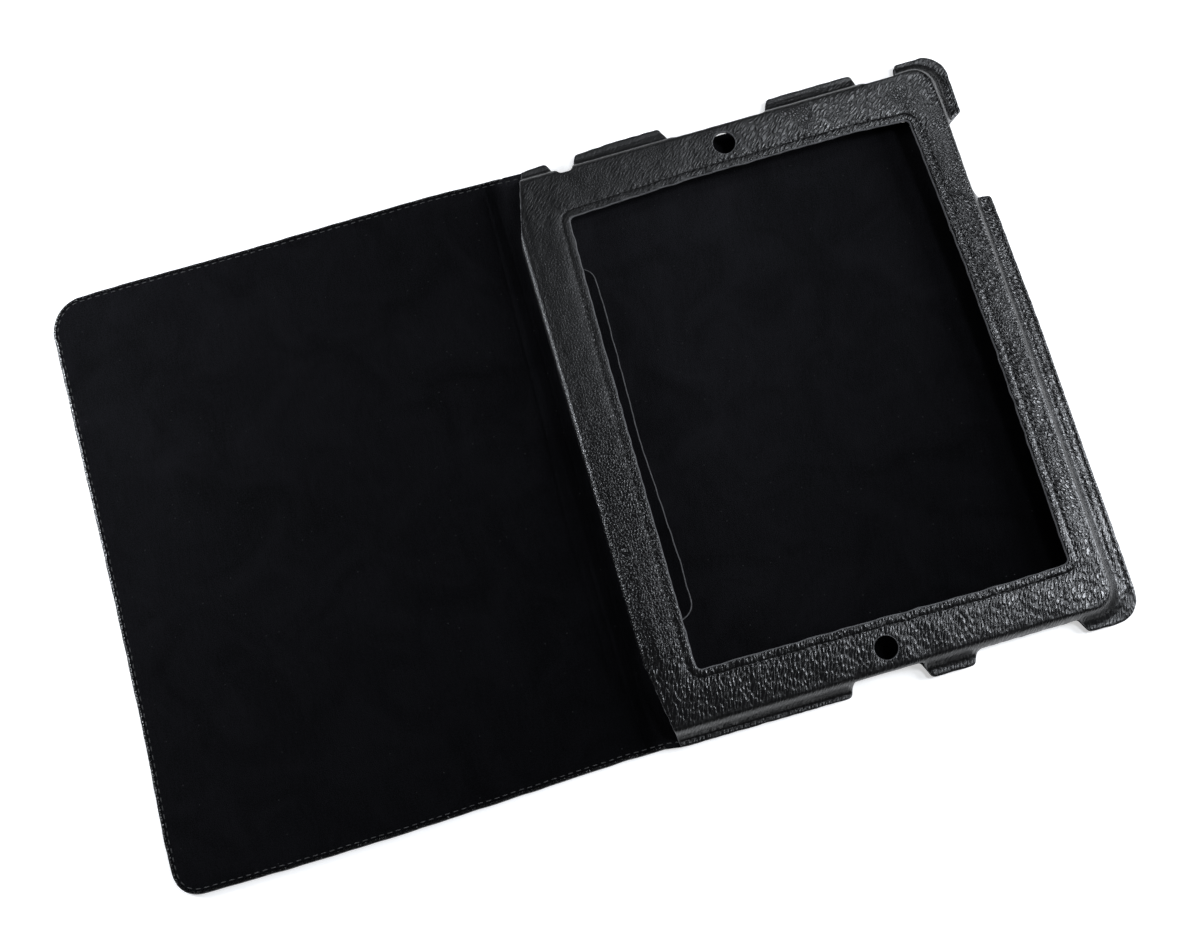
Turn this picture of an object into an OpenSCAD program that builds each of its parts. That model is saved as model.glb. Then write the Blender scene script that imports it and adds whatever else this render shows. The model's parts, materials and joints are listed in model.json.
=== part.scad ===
// Leather folio case for a 9.7-inch tablet, lying open and flat.
// The holder (back panel and window frame) is on the right, the cover on the left, and the spine between.
// Origin: centre of the tablet pocket, on the surface that the case rests on.
// +X runs from the spine to the holder's free edge, +Y to the camera end, and +Z up.

/* [Tablet] */
// Width of the tablet that the pocket holds
tablet_w = 185.7; // [182:0.1:188]
// Length of the tablet
tablet_l = 241.2; // [238:0.1:243]
// Thickness of the tablet
tablet_t = 8.8; // [7.5:0.1:9.5]

/* [Layers] */
// Thickness of the outer leather
leather_t = 1.0; // [0.8:0.1:1.4]
// Thickness of the card boards
board_t = 0.8; // [0.6:0.1:1.2]
// Thickness of the suede lining
lining_t = 0.6; // [0.4:0.1:0.8]
// Thickness of the formed leather over the frame's rails
frame_t = 0.8; // [0.6:0.1:1.0]
// Thickness of the stiffening strips in the rails
strip_t = 0.4; // [0.3:0.1:0.5]
// Thickness of the suede under the rails
frame_lining_t = 0.3; // [0.2:0.1:0.4]

/* [Panels] */
// Height of the three panels along Y
case_l = 257.5; // [256:0.5:262]
// How far the panels' middle lies above the pocket's middle
case_y = 0.8; // [0:0.1:1]
// Distance from the pocket's middle to the holder's free edge
holder_reach = 105; // [103:0.5:110]
// Radius of the holder's two free corners
holder_r = 14.5; // [10:0.5:18]
// Width of the cover
cover_w = 189.5; // [180:0.5:195]
// Radius of the cover's two free corners
cover_r = 13; // [8:0.5:18]
// Width of the turned leather edge around the cover
rim_w = 1.0; // [0.8:0.1:2]

/* [Frame] */
// Width of the window over the screen
window_w = 152.4; // [146:0.1:156]
// Length of the window
window_l = 201; // [196:0.5:204]
// How far the window's middle lies right of the pocket's middle
window_x = 1.8; // [0:0.1:3]
// Radius of the window's corners
window_r = 2; // [1:0.5:4]
// Gap between the tablet and the frame's walls
wall_gap = 0.5; // [0.3:0.1:0.8]
// Thickness of the frame's walls
wall_t = 1.2; // [1:0.1:1.5]
// How far the right wall leans out at its foot
lean_x = 4; // [2:0.1:5]
// How far the top and bottom walls lean out at their foot
lean_y = 1.8; // [1:0.1:2.2]
// Radius of the camera hole and the home button hole
hole_r = 5; // [4:0.1:6]
// Radius of the hole for the rear camera
lens_hole_r = 5; // [4:0.1:6]

/* [Flap] */
// How far the tuck flap reaches in from the fold
flap_w = 25.5; // [20:0.5:28]
// Length of the tuck flap's free edge
flap_edge_l = 149; // [120:1:150]
// Radius of the tuck flap's free corners
flap_r = 7; // [4:0.5:10]

/* [Stitching] */
// Width of the thread
thread_w = 0.5; // [0.3:0.1:0.7]
// How far the thread stands up
thread_h = 0.2; // [0.1:0.05:0.2]
// Distance from a panel's edge to its seam
seam_in = 2; // [1.8:0.1:3]
// Distance from the window's edge to its seam
window_seam = 3.6; // [2.5:0.1:5]

/* [Hidden] */
$fn = 64;
hull_fn = 32;
eps = 0.01;
through = 40;
beyond = 200; // past the whole case in the plane

// Heights of the layers
panel_t = leather_t + board_t + lining_t;
board_z = leather_t;
lining_z = leather_t + board_t;
tablet_play = 0.1;
ceiling_z = panel_t + tablet_t + tablet_play;
strip_z = ceiling_z + frame_lining_t;
frame_z = strip_z + strip_t;
frame_top = frame_z + frame_t;

// The two fold lines of the spine, each a roll of leather as thick as the panels
roll_r = panel_t / 2;
fold_gap = 0.3;
spine_w = frame_top + thread_h + fold_gap;
holder_fold_x = -99;
cover_fold_x = holder_fold_x - spine_w;
holder_left = holder_fold_x + roll_r + fold_gap;
cover_right = cover_fold_x - roll_r - fold_gap;
cover_left = cover_right - cover_w;

// The panels' top and bottom edges
case_y1 = case_y + case_l / 2;
case_y0 = case_y - case_l / 2;

// The frame's walls: at their top, and at their foot on the flange
wall_x = tablet_w / 2 + wall_gap + wall_t;
wall_y = tablet_l / 2 + wall_gap + wall_t;
foot_x = wall_x + lean_x;
foot_y = wall_y + lean_y;
wall_top_r = 9;
wall_foot_r = 11;
shoulder = 1.2;
far_left = -120; // left of the rail, where the frame's form is cut off

// The rail beside the spine: folded down at its outer edge, and cut off at a slant at both ends
rail_gap = 0.05;
rail_x = holder_left + rail_gap;
rail_r = 2.5;
rail_y1 = 92;
rail_y0 = -89;
slant_x1 = -88;
slant_x0 = -91.5;

// The roll that joins the tuck flap to the foot of the rail's fold
flap_roll_r = 0.95;
flap_lift = 0.4; // between the pocket's lining and the flap
flap_x = rail_x + flap_roll_r;
flap_z = panel_t + flap_lift + flap_roll_r;
flap_leather_t = 0.8;
flap_edge_x = flap_x + flap_w;
flap_end_gap = 2; // between the flap's root and each end of the rail's fold
flap_y0 = rail_y0 + flap_end_gap;
flap_root_l = rail_y1 - rail_y0 - 2 * flap_end_gap;
flap_lining_in = 1.4; // from the roll's axis to the flap's lining

// Holes in the rails, and the hole for the rear camera
hole_x = -1;
hole_y = 112.5;
lens_hole = [79, 108];

// Port notches: middle along the edge, width at the wall, widening to the rim, depth past the wall's top
headphone_notch = [-70.2, 5.6, 7, 2.6];
microphone_notch = [-0.5, 41, 8, 0.4];
power_notch = [71.8, 14, 5, 0.8];
volume_notch = [77.4, 33.5, 7, 0.2];
dock_notch = [-2.4, 29.6, 6, 0.2];
speaker_notch = [57.2, 43, 6, -0.8];
// How far every notch runs out past the wall
notch_l = 12;

// A flat plate outline with round corners of one radius on the left and another on the right
module plate(x0, x1, y0, y1, left_r, right_r) {
    translate([x0 + left_r, y0])
        square([x1 - x0 - left_r - right_r, y1 - y0]);
    plate_end(x0, y0, y1, left_r, 0);
    plate_end(x1, y0, y1, right_r, 1);
}

module plate_end(x, y0, y1, r, side) {
    if (r > 0) {
        translate([x - side * r, y0 + r])
            square([r, y1 - y0 - 2 * r]);
        for (y = [y0 + r, y1 - r])
            translate([x + (side ? -r : r), y])
                circle(r);
    }
}

// A notch that opens towards +Y from a floor at reach, and runs out past the flange
module notch(spec, reach) {
    half = spec[1] / 2;
    mouth = half + spec[2] / 2;
    floor_y = reach - spec[3];
    polygon([
        [spec[0] - half, floor_y], [spec[0] + half, floor_y],
        [spec[0] + mouth, reach + notch_l], [spec[0] - mouth, reach + notch_l]
    ]);
}

module notches() {
    for (spec = [headphone_notch, microphone_notch, power_notch])
        notch(spec, wall_y);
    for (spec = [dock_notch, speaker_notch])
        mirror([0, 1])
            notch(spec, wall_y);
    mirror([1, -1])
        notch(volume_notch, wall_x);
}

// Outline of the back panel, in from its edges by inset
module holder_outline(inset = 0) {
    plate(holder_left, holder_reach - inset, case_y0 + inset, case_y1 - inset, 0, holder_r - inset);
}

module lens_hole() {
    translate(lens_hole)
        circle(lens_hole_r);
}

module back_layer(z, t) {
    translate([0, 0, z])
        linear_extrude(t)
            difference() {
                holder_outline();
                notches();
                lens_hole();
            }
}

module back_leather() {
    color([0.12, 0.12, 0.13])
        back_layer(0, leather_t);
}

module back_board() {
    color([0.6, 0.52, 0.4])
        back_layer(board_z, board_t);
}

module pocket_lining() {
    color([0.05, 0.05, 0.055])
        back_layer(lining_z, lining_t);
}

// Where the frame covers the holder: all but a wedge beside the spine at each end of the rail
module frame_area() {
    far = holder_reach + 1;
    polygon([
        [rail_x + rail_r, rail_y0], [rail_x + rail_r, rail_y1],
        [rail_x, rail_y1], [slant_x1, case_y1 + 1],
        [far, case_y1 + 1], [far, case_y0 - 1],
        [slant_x0, case_y0 - 1], [rail_x, rail_y0]
    ]);
}

module window(grow = 0) {
    half_w = window_w / 2 + grow;
    half_l = window_l / 2 + grow;
    plate(window_x - half_w, window_x + half_w, -half_l, half_l, window_r + grow, window_r + grow);
}

module rail_holes() {
    for (y = [-hole_y, hole_y])
        translate([hole_x, y])
            circle(hole_r);
}

module frame_cuts() {
    window();
    notches();
    rail_holes();
}

// A thin level of the frame's outer or inner form, reaching left past the rail
module level(z, x1, y1, r) {
    translate([0, 0, z])
        linear_extrude(eps)
            plate(far_left, x1, -y1, y1, 0, r, $fn = hull_fn);
}

module frame_form() {
    hull() {
        level(panel_t, foot_x, foot_y, wall_foot_r);
        level(frame_top - shoulder, wall_x, wall_y, wall_top_r);
        level(frame_top - eps, wall_x - shoulder, wall_y - shoulder, wall_top_r - shoulder);
    }
}

module frame_hollow() {
    hull() {
        level(panel_t - eps, foot_x - wall_t, foot_y - wall_t, wall_foot_r - wall_t);
        level(frame_z - eps, wall_x - wall_t, wall_y - wall_t, wall_top_r - wall_t);
    }
}

// The rail's outer edge, folded down towards the tuck flap
module rail_fold() {
    drop_z = flap_z + flap_roll_r + fold_gap;
    arc_z = frame_top - rail_r;
    translate([0, rail_y1, 0])
        rotate([90, 0, 0])
            linear_extrude(rail_y1 - rail_y0) {
                translate([rail_x, drop_z])
                    square([frame_t, arc_z - drop_z]);
                intersection() {
                    translate([rail_x + rail_r, arc_z])
                        difference() {
                            circle(rail_r);
                            circle(rail_r - frame_t);
                        }
                    translate([rail_x, arc_z])
                        square(rail_r);
                }
            }
}

module frame_leather() {
    color([0.16, 0.16, 0.17]) {
        difference() {
            union() {
                difference() {
                    frame_form();
                    frame_hollow();
                }
                translate([0, 0, panel_t])
                    linear_extrude(leather_t)
                        difference() {
                            holder_outline();
                            plate(far_left, foot_x - eps, -foot_y + eps, foot_y - eps, 0, wall_foot_r, $fn = hull_fn);
                        }
            }
            linear_extrude(through)
                frame_cuts();
            translate([0, 0, -eps])
                linear_extrude(through)
                    difference() {
                        square(2 * beyond, center = true);
                        frame_area();
                    }
        }
        rail_fold();
    }
}

// A flat layer under the rails' leather
module rail_layer(z, t) {
    translate([0, 0, z])
        linear_extrude(t)
            difference() {
                intersection() {
                    plate(far_left, wall_x - wall_t, -wall_y + wall_t, wall_y - wall_t, 0, wall_top_r - wall_t);
                    frame_area();
                }
                frame_cuts();
            }
}

module frame_lining() {
    color([0.05, 0.05, 0.055])
        rail_layer(ceiling_z, frame_lining_t);
}

// One stiffening strip: the part of the rail layer inside a box from low to high
module strip(low, high) {
    color([0.8, 0.8, 0.76])
        intersection() {
            rail_layer(strip_z, strip_t);
            translate([low[0], low[1], 0])
                cube([high[0] - low[0], high[1] - low[1], through]);
        }
}

// The side strips run between the end strips, with a small gap where they meet
strip_in = 0.5; // from the window's edge to the end strips
strip_y = window_l / 2 + strip_in;
strip_gap = 0.3;

module stiffener_top() {
    strip([far_left, strip_y], [beyond, beyond]);
}

module stiffener_bottom() {
    strip([far_left, -beyond], [beyond, -strip_y]);
}

module stiffener_left() {
    strip([far_left, strip_gap - strip_y], [window_x, strip_y - strip_gap]);
}

module stiffener_right() {
    strip([window_x, strip_gap - strip_y], [beyond, strip_y - strip_gap]);
}

module window_stitching() {
    color([0.09, 0.09, 0.1])
        translate([0, 0, frame_top])
            linear_extrude(thread_h)
                difference() {
                    window(window_seam + thread_w / 2);
                    window(window_seam - thread_w / 2);
                }
}

module flange_stitching() {
    color([0.09, 0.09, 0.1])
        translate([0, 0, panel_t + leather_t])
            linear_extrude(thread_h)
                difference() {
                    intersection() {
                        holder_outline(seam_in - thread_w / 2);
                        frame_area();
                    }
                    holder_outline(seam_in + thread_w / 2);
                    translate([holder_left - 1, -foot_y])
                        square([20, 2 * foot_y]);
                    notches();
                }
}

module flap_outline(tip_x) {
    hull() {
        translate([flap_x, flap_y0])
            square([1, flap_root_l]);
        for (side = [-1, 1])
            translate([tip_x - flap_r, side * (flap_edge_l / 2 - flap_r)])
                circle(flap_r, $fn = hull_fn);
    }
}

module flap_leather() {
    color([0.12, 0.12, 0.13]) {
        translate([0, 0, flap_z - flap_roll_r])
            linear_extrude(flap_leather_t)
                flap_outline(flap_edge_x);
        translate([flap_x, flap_y0, flap_z])
            rotate([-90, 0, 0])
                cylinder(h = flap_root_l, r = flap_roll_r);
    }
}

module flap_lining() {
    color([0.05, 0.05, 0.055])
        translate([0, 0, flap_z - flap_roll_r + flap_leather_t])
            linear_extrude(lining_t)
                intersection() {
                    flap_outline(flap_edge_x);
                    translate([flap_x + flap_lining_in, -beyond])
                        square([flap_w, 2 * beyond]);
                }
}

// The spine's leather: a flat strip between two rolls, with a channel for the layers inside
spine_in = 0.5; // from the panels' ends to the spine's ends
spine_y0 = case_y0 + spine_in;
spine_l = case_l - 2 * spine_in;

module spine_leather() {
    color([0.12, 0.12, 0.13])
        difference() {
            union() {
                translate([cover_fold_x, spine_y0, 0])
                    cube([spine_w, spine_l, panel_t]);
                for (x = [cover_fold_x, holder_fold_x])
                    translate([x, spine_y0, roll_r])
                        rotate([-90, 0, 0])
                            cylinder(h = spine_l, r = roll_r);
            }
            translate([cover_fold_x + roll_r, spine_y0 - 1, leather_t])
                cube([spine_w - 2 * roll_r, spine_l + 2, panel_t]);
        }
}

module spine_layer(z, t) {
    translate([cover_fold_x + roll_r, spine_y0, z])
        cube([spine_w - 2 * roll_r, spine_l, t]);
}

module spine_interlining() {
    color([0.75, 0.75, 0.72])
        spine_layer(board_z, board_t);
}

module spine_lining() {
    color([0.05, 0.05, 0.055])
        spine_layer(lining_z, lining_t);
}

module spine_stitching() {
    color([0.09, 0.09, 0.1])
        for (y = [spine_y0 + seam_in, spine_y0 + spine_l - seam_in])
            translate([cover_fold_x + roll_r, y - thread_w / 2, panel_t])
                cube([spine_w - 2 * roll_r, thread_w, thread_h]);
}

// Outline of the cover, in from its three free edges by inset
module cover_outline(inset = 0) {
    plate(cover_left + inset, cover_right, case_y0 + inset, case_y1 - inset, cover_r - inset, 0);
}

module cover_leather() {
    color([0.12, 0.12, 0.13]) {
        linear_extrude(leather_t)
            cover_outline();
        translate([0, 0, leather_t])
            linear_extrude(board_t + lining_t)
                difference() {
                    cover_outline();
                    cover_outline(rim_w);
                }
    }
}

module cover_board() {
    color([0.6, 0.52, 0.4])
        translate([0, 0, board_z])
            linear_extrude(board_t)
                cover_outline(rim_w);
}

module cover_lining() {
    color([0.05, 0.05, 0.055])
        translate([0, 0, lining_z])
            linear_extrude(lining_t)
                cover_outline(rim_w);
}

module cover_stitching() {
    color([0.09, 0.09, 0.1])
        translate([0, 0, panel_t])
            linear_extrude(thread_h)
                difference() {
                    cover_outline(seam_in - thread_w / 2);
                    cover_outline(seam_in + thread_w / 2);
                }
}

back_leather();
back_board();
pocket_lining();
frame_leather();
frame_lining();
stiffener_top();
stiffener_bottom();
stiffener_left();
stiffener_right();
window_stitching();
flange_stitching();
flap_leather();
flap_lining();
spine_leather();
spine_interlining();
spine_lining();
spine_stitching();
cover_leather();
cover_board();
cover_lining();
cover_stitching();
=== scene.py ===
"""Looks of the tablet folio case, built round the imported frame.

Sizes here are in millimetres, in the frame's own axes, and meshes are scaled to metres as they are made.
Each layer is a plate: a flat outline with holes, a height for each face, and cut edges, folded into shape.
"""
import json
import math

import bpy
import numpy as np
from mathutils import Matrix, Vector, kdtree
from mathutils.geometry import delaunay_2d_cdt


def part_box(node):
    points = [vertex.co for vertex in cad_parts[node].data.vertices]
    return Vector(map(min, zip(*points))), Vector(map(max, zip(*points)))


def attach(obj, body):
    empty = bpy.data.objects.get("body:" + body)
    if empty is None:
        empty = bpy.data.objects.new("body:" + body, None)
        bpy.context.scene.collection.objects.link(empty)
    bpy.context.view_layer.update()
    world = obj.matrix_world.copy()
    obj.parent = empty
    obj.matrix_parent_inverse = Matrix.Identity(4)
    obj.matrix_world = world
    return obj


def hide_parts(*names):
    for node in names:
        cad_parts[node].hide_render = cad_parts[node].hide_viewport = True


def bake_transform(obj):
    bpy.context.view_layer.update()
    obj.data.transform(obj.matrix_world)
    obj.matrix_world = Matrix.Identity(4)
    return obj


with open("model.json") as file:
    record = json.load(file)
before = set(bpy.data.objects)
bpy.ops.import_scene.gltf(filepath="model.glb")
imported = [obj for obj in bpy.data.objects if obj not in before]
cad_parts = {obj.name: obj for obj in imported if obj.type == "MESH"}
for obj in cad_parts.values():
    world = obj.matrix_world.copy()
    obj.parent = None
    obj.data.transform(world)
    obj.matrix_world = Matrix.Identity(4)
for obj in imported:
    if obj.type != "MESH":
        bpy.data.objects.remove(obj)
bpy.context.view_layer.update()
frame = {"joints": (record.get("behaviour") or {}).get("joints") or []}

MM = 0.001
TINY = 1e-9


def node_box(name):
    """Lowest and highest corner of a CAD node, in mm."""
    low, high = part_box(name)
    return np.array(low) / MM, np.array(high) / MM


def joint_at(name):
    """Position of a joint, in mm."""
    found = [j for j in frame["joints"] if j["name"] == name][0]
    return np.array(found["pos_m"]) / MM


# ---- Places and layers, from the frame

FRAME_LOW = node_box("frame_leather")[0]
COVER_HIGH = node_box("cover_leather")[1]
PANEL_TOP = node_box("pocket_lining")[1][2]
LEATHER_T = node_box("back_leather")[1][2]
BOARD_TOP = node_box("back_board")[1][2]
HOLDER_FOLD = joint_at("spine_fold")
COVER_FOLD = joint_at("cover_fold")
FLAP_AXIS = joint_at("tuck_flap_lift")
SPINE_MID = (HOLDER_FOLD[0] + COVER_FOLD[0]) / 2
BLEND_REACH = 3.5  # how far to each side of a fold line the close mesh rows run; the boards stop just past it

# ---- The frame's form

# Right edge, top edge and corner radius of the wall's top and foot.
WALL_X, WALL_Y, WALL_R = 94.55, 122.3, 9.0
FOOT_X, FOOT_Y, FOOT_R = 98.75, 124.6, 11.0
FORM_FAR_LEFT = -300.0  # the form runs on past the fold
# How softly rail and flange meet the wall, and how much softer at the frame's ends.
SHOULDER_SOFT, SHOULDER_SOFTER = 4.2, 3.5
FOOT_SOFT, FOOT_SOFTER = 2.2, 2.5
ENDS_FROM, ENDS_TO = 100, 116
WALL_DROP = 0.5  # the wall's slope starts this far below the rail's top
CLOSED_COVER_Z = 13.12  # where the closed cover's suede comes down on the rails
RAIL_TOP = 12.65
RAIL_T = 0.75
FLANGE_TOP = 3.35
FLANGE_T = 0.95
FOLD_R = 3.2
FOLD_X = FRAME_LOW[0] + FOLD_R
FOLD_END = 5.6
HOLE_R = 5.0
HOLE_X = -1.0
HOLE_Y = 112.5
LENS_HOLE = (79.0, 108.0)
LENS_HOLE_R = 5.0
# Each seam's distance from its edge, and its stitches' pitch.
WINDOW_SEAM, WINDOW_PITCH = 3.7, 2.6
FLANGE_SEAM, FLANGE_PITCH = 2.1, 3.2
COVER_SEAM, COVER_PITCH = 2.2, 3.5
RIM = 1.4  # width of the leather turned over the cover's edge

# ---- Outlines: corner points (x, y, corner radius), or (x, y) where sharp

TOP_NOTCH_Y = 121.3
BACK_NOTCH_Y = 120.4  # the back panel's notch is deeper
TOP_EDGE = [
    (-77.3, 129.2, 1.6), (-73, 119.7, 2.3), (-67.2, 119.7, 2.3), (-63.9, 129.5, 1.6), (-45, 130.4, 0),
    (-25.3, 130.5, 2), (-21, TOP_NOTCH_Y, 2.6), (20.2, TOP_NOTCH_Y, 2.6), (24.3, 130, 2),
    (62.5, 130.1, 2), (64.8, 120.8, 2.3), (80.6, 120.4, 2.3), (82.6, 128.9, 1.5),
]
RIGHT_EDGE = [
    (103.7, 129.2, 15.5), (103.7, 100.6, 1), (94.4, 94.3, 2.4), (94.5, 60.8, 2.6), (104, 60.2, 2.2),
    (104.5, 40), (105.4, 0), (105.4, -60), (105.7, -90), (105.6, -129.6, 18),
]
BOTTOM_EDGE = [
    (82.9, -129.5, 2.2), (79.8, -123.5, 2), (36, -123.5, 2.4), (33.4, -129.3, 2.2),
    (15.6, -129.4, 2.2), (12.4, -122.1, 2.4), (-17.2, -122.1, 1.4), (-18.8, -128.1, 1.8),
]
TOP_TIP = (-88.5, 128.5, 0.4)
BOTTOM_TIP = (-91.6, -128, 0.4)
FOLD_TOP_Y = 92.0
FOLD_BOTTOM_Y = -89.0
SPINE_TOP_Y = 129.0
SPINE_BOTTOM_Y = -127.0
WINDOW = [
    (-74.4, 99, 2.6), (-20, 101.1), (50, 101.2), (77.7, 99.8, 2.6), (78.6, 80),
    (80.3, 32), (80.9, -10), (80.8, -60), (80.6, -100.4, 2.2), (55, -101.3),
    (22, -101), (-5, -100.5), (-77, -100, 2.4), (-76.3, -10), (-75.5, 50),
]
COVER_EDGE = [
    (-130, -127.5), (-170, -128.9), (-210, -130.1), (-250, -130.7),
    (-305, -130.4, 14), (-305.2, -108), (-303.7, -60), (-303.3, 0),
    (-303.6, 129.3, 15.5), (-270, 129.7), (-210, 129.4), (-170, 129.9),
    (-130, 130),
]
FLAP_EDGE = [
    (-70.8, -76.2, 7), (-70.3, -54, 0), (-72, -1, 0), (-70.2, 60, 0), (-70.6, 76.2, 7),
]


# Below this radius or above this half angle a corner stays sharp.
SHARP_R, STRAIGHT = 0.05, 1.55
SIDE_SHARE = 0.49  # the most of each side that an arc may use up
ARC_STEP = 0.6  # arcs are drawn finer than lines by this


def rounded(points, step=0.7):
    """A counter-clockwise closed loop through corner points, each rounded, sampled about every step."""
    count = len(points)
    loop = []
    for i, point in enumerate(points):
        x, y, r = (*point, 0.0)[:3]
        here = np.array([x, y])
        before = np.array(points[i - 1][:2]) - here
        after = np.array(points[(i + 1) % count][:2]) - here
        a = before / np.linalg.norm(before)
        b = after / np.linalg.norm(after)
        half = math.acos(np.clip(a @ b, -1, 1)) / 2
        if r < SHARP_R or half > STRAIGHT:
            loop.append(here)
            continue
        reach = min(r / math.tan(half), SIDE_SHARE * min(np.linalg.norm(before), np.linalg.norm(after)))
        radius = reach * math.tan(half)
        middle = here + (a + b) / np.linalg.norm(a + b) * radius / math.sin(half)
        start = here + a * reach - middle
        end = here + b * reach - middle
        turn = math.atan2(start[0] * end[1] - start[1] * end[0], start @ end)
        bits = max(2, int(abs(turn) * radius / (ARC_STEP * step)) + 1)
        for k in range(bits + 1):
            angle = turn * k / bits
            c, s = math.cos(angle), math.sin(angle)
            loop.append(middle + np.array([c * start[0] - s * start[1], s * start[0] + c * start[1]]))
    return ccw(resample(np.array(loop), step))


def resample(loop, step, closed=True):
    """The same line with points about every step along it; its corners stay."""
    ends = np.roll(loop, -1, axis=0) if closed else loop[1:]
    out = []
    for a, b in zip(loop, ends):
        bits = max(1, int(np.linalg.norm(b - a) / step + 0.5))
        out.extend(a + (b - a) * k / bits for k in range(bits))
    if not closed:
        out.append(loop[-1])
    return np.array(out)


def unit(vectors):
    """The vectors with a length of 1."""
    return vectors / np.maximum(np.linalg.norm(vectors, axis=1, keepdims=True), TINY)


def normals(loop):
    """Outward unit normals of a counter-clockwise closed loop."""
    along = np.roll(loop, -1, axis=0) - np.roll(loop, 1, axis=0)
    return unit(np.stack([along[:, 1], -along[:, 0]], axis=1))


def ccw(loop):
    """The loop, turned counter-clockwise."""
    after = np.roll(loop, -1, axis=0)
    area = np.sum(loop[:, 0] * after[:, 1] - loop[:, 1] * after[:, 0])
    return loop if area > 0 else loop[::-1].copy()


def ripple(p, size, seed):
    """Smooth random waves about size mm long, from about -1 to 1."""
    rng = np.random.default_rng(seed)
    total = np.zeros(len(p))
    for _ in range(7):
        angle = rng.uniform(0, 2 * math.pi)
        wave = 2 * math.pi / (size * rng.uniform(0.7, 1.5))
        phase = rng.uniform(0, 2 * math.pi)
        total += np.sin(wave * (p[:, 0] * math.cos(angle) + p[:, 1] * math.sin(angle)) + phase)
    return total / 3.2


def wavy(loop, amount, size, seed):
    """The loop with its edge pushed in and out a little, as a hand-cut edge is."""
    return loop + normals(loop) * (amount * ripple(loop, size, seed))[:, None]


INSET_KEEPS = 0.93  # a moved point stays if this share of the distance away


def inset(loop, distance):
    """The loop moved inwards, without the stretches that would cross over."""
    moved = loop - normals(loop) * distance
    return moved[away(moved, loop) > INSET_KEEPS * abs(distance)]


def tree_of(points):
    """A search tree of points in the plane."""
    tree = kdtree.KDTree(len(points))
    for i, (x, y) in enumerate(points):
        tree.insert((x, y, 0), i)
    tree.balance()
    return tree


def nearest(tree, p):
    """Distance from each point to the nearest one in the tree."""
    return np.array([tree.find((x, y, 0))[2] for x, y in p])


LINE_DOTS = 0.25  # a line is searched as dots this far apart
line_trees = {}


def away(p, line):
    """Distance from each point to a closed line."""
    key = hash(line.tobytes())
    if key not in line_trees:
        line_trees[key] = tree_of(resample(line, LINE_DOTS))
    return nearest(line_trees[key], p)


BATCH = 3000  # points tested at a time


def within(p, loop):
    """Which points lie inside a closed loop."""
    a, b = loop, np.roll(loop, -1, axis=0)
    rise = np.where(np.abs(b[:, 1] - a[:, 1]) < TINY, TINY, b[:, 1] - a[:, 1])
    result = np.zeros(len(p), bool)
    for at in range(0, len(p), BATCH):
        x = p[at:at + BATCH, 0][:, None]
        y = p[at:at + BATCH, 1][:, None]
        crosses = (a[:, 1] > y) != (b[:, 1] > y)
        left = x < a[:, 0] + (y - a[:, 1]) * (b[:, 0] - a[:, 0]) / rise
        result[at:at + BATCH] = np.sum(crosses & left, axis=1) % 2 == 1
    return result


def smooth(value, low, high):
    """0 below low and 1 above high, with a soft step between."""
    t = np.clip((value - low) / (high - low), 0, 1)
    return t * t * (3 - 2 * t)


def bell(value, middle, width):
    """1 at the middle, falling off to nothing about two widths away."""
    return np.exp(-((value - middle) / width) ** 2)


def soft_min(a, b, k):
    """The smaller of two heights, rounded where they come closer than k."""
    h = np.maximum(k - np.abs(a - b), 0) / k
    return np.minimum(a, b) - h * h * k / 4


def soft_max(a, b, k):
    return -soft_min(-a, -b, k)


def rounded_box(p, right, top, r):
    """Signed distance to a round-cornered form that runs on far to the left."""
    half = (right - FORM_FAR_LEFT) / 2
    qx = np.abs(p[:, 0] - (right + FORM_FAR_LEFT) / 2) - half + r
    qy = np.abs(p[:, 1]) - top + r
    outside = np.hypot(np.maximum(qx, 0), np.maximum(qy, 0))
    return outside + np.minimum(np.maximum(qx, qy), 0) - r


# ---- Plate meshes

# A triangle's height, and how far a point may be moved, in grid pitches.
ROW_SHARE, JITTER = 0.866, 0.12


def grid(low, high, pitch, seed):
    """Points on a triangular grid, each moved a little at random."""
    rng = np.random.default_rng(seed)
    xs = np.arange(low[0], high[0], pitch)
    ys = np.arange(low[1], high[1], pitch * ROW_SHARE)
    x, y = np.meshgrid(xs, ys)
    x = x + (np.arange(len(ys)) % 2)[:, None] * pitch / 2
    p = np.stack([x.ravel(), y.ravel()], axis=1)
    return p + rng.uniform(-JITTER, JITTER, p.shape) * pitch


def thin_out(p, kept, gap):
    """The points of p that are more than gap away from those kept."""
    return p[nearest(tree_of(kept), p) > gap]


def closed_edges(loops):
    """The edges of closed loops, whose points are numbered on from loop to loop."""
    edges, at = [], 0
    for loop in loops:
        edges += [(at + k, at + (k + 1) % len(loop)) for k in range(len(loop))]
        at += len(loop)
    return edges


def facing_up(verts, faces):
    """The triangles, turned counter-clockwise."""
    flat = verts[faces]
    side = np.cross(flat[:, 1] - flat[:, 0], flat[:, 2] - flat[:, 0])
    faces[side < 0] = faces[side < 0][:, ::-1]
    return faces


def only_used(verts, faces):
    """The points in use, and the triangles with those points' new numbers."""
    used = np.unique(faces)
    number = np.full(len(verts), -1)
    number[used] = np.arange(len(used))
    return verts[used], number[faces]


# Least distances of added points from outlines and each other, and of grid points (in pitches).
OUTLINE_GAP, ROW_GAP, FILL_GAP = 0.17, 0.3, 0.62


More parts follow.
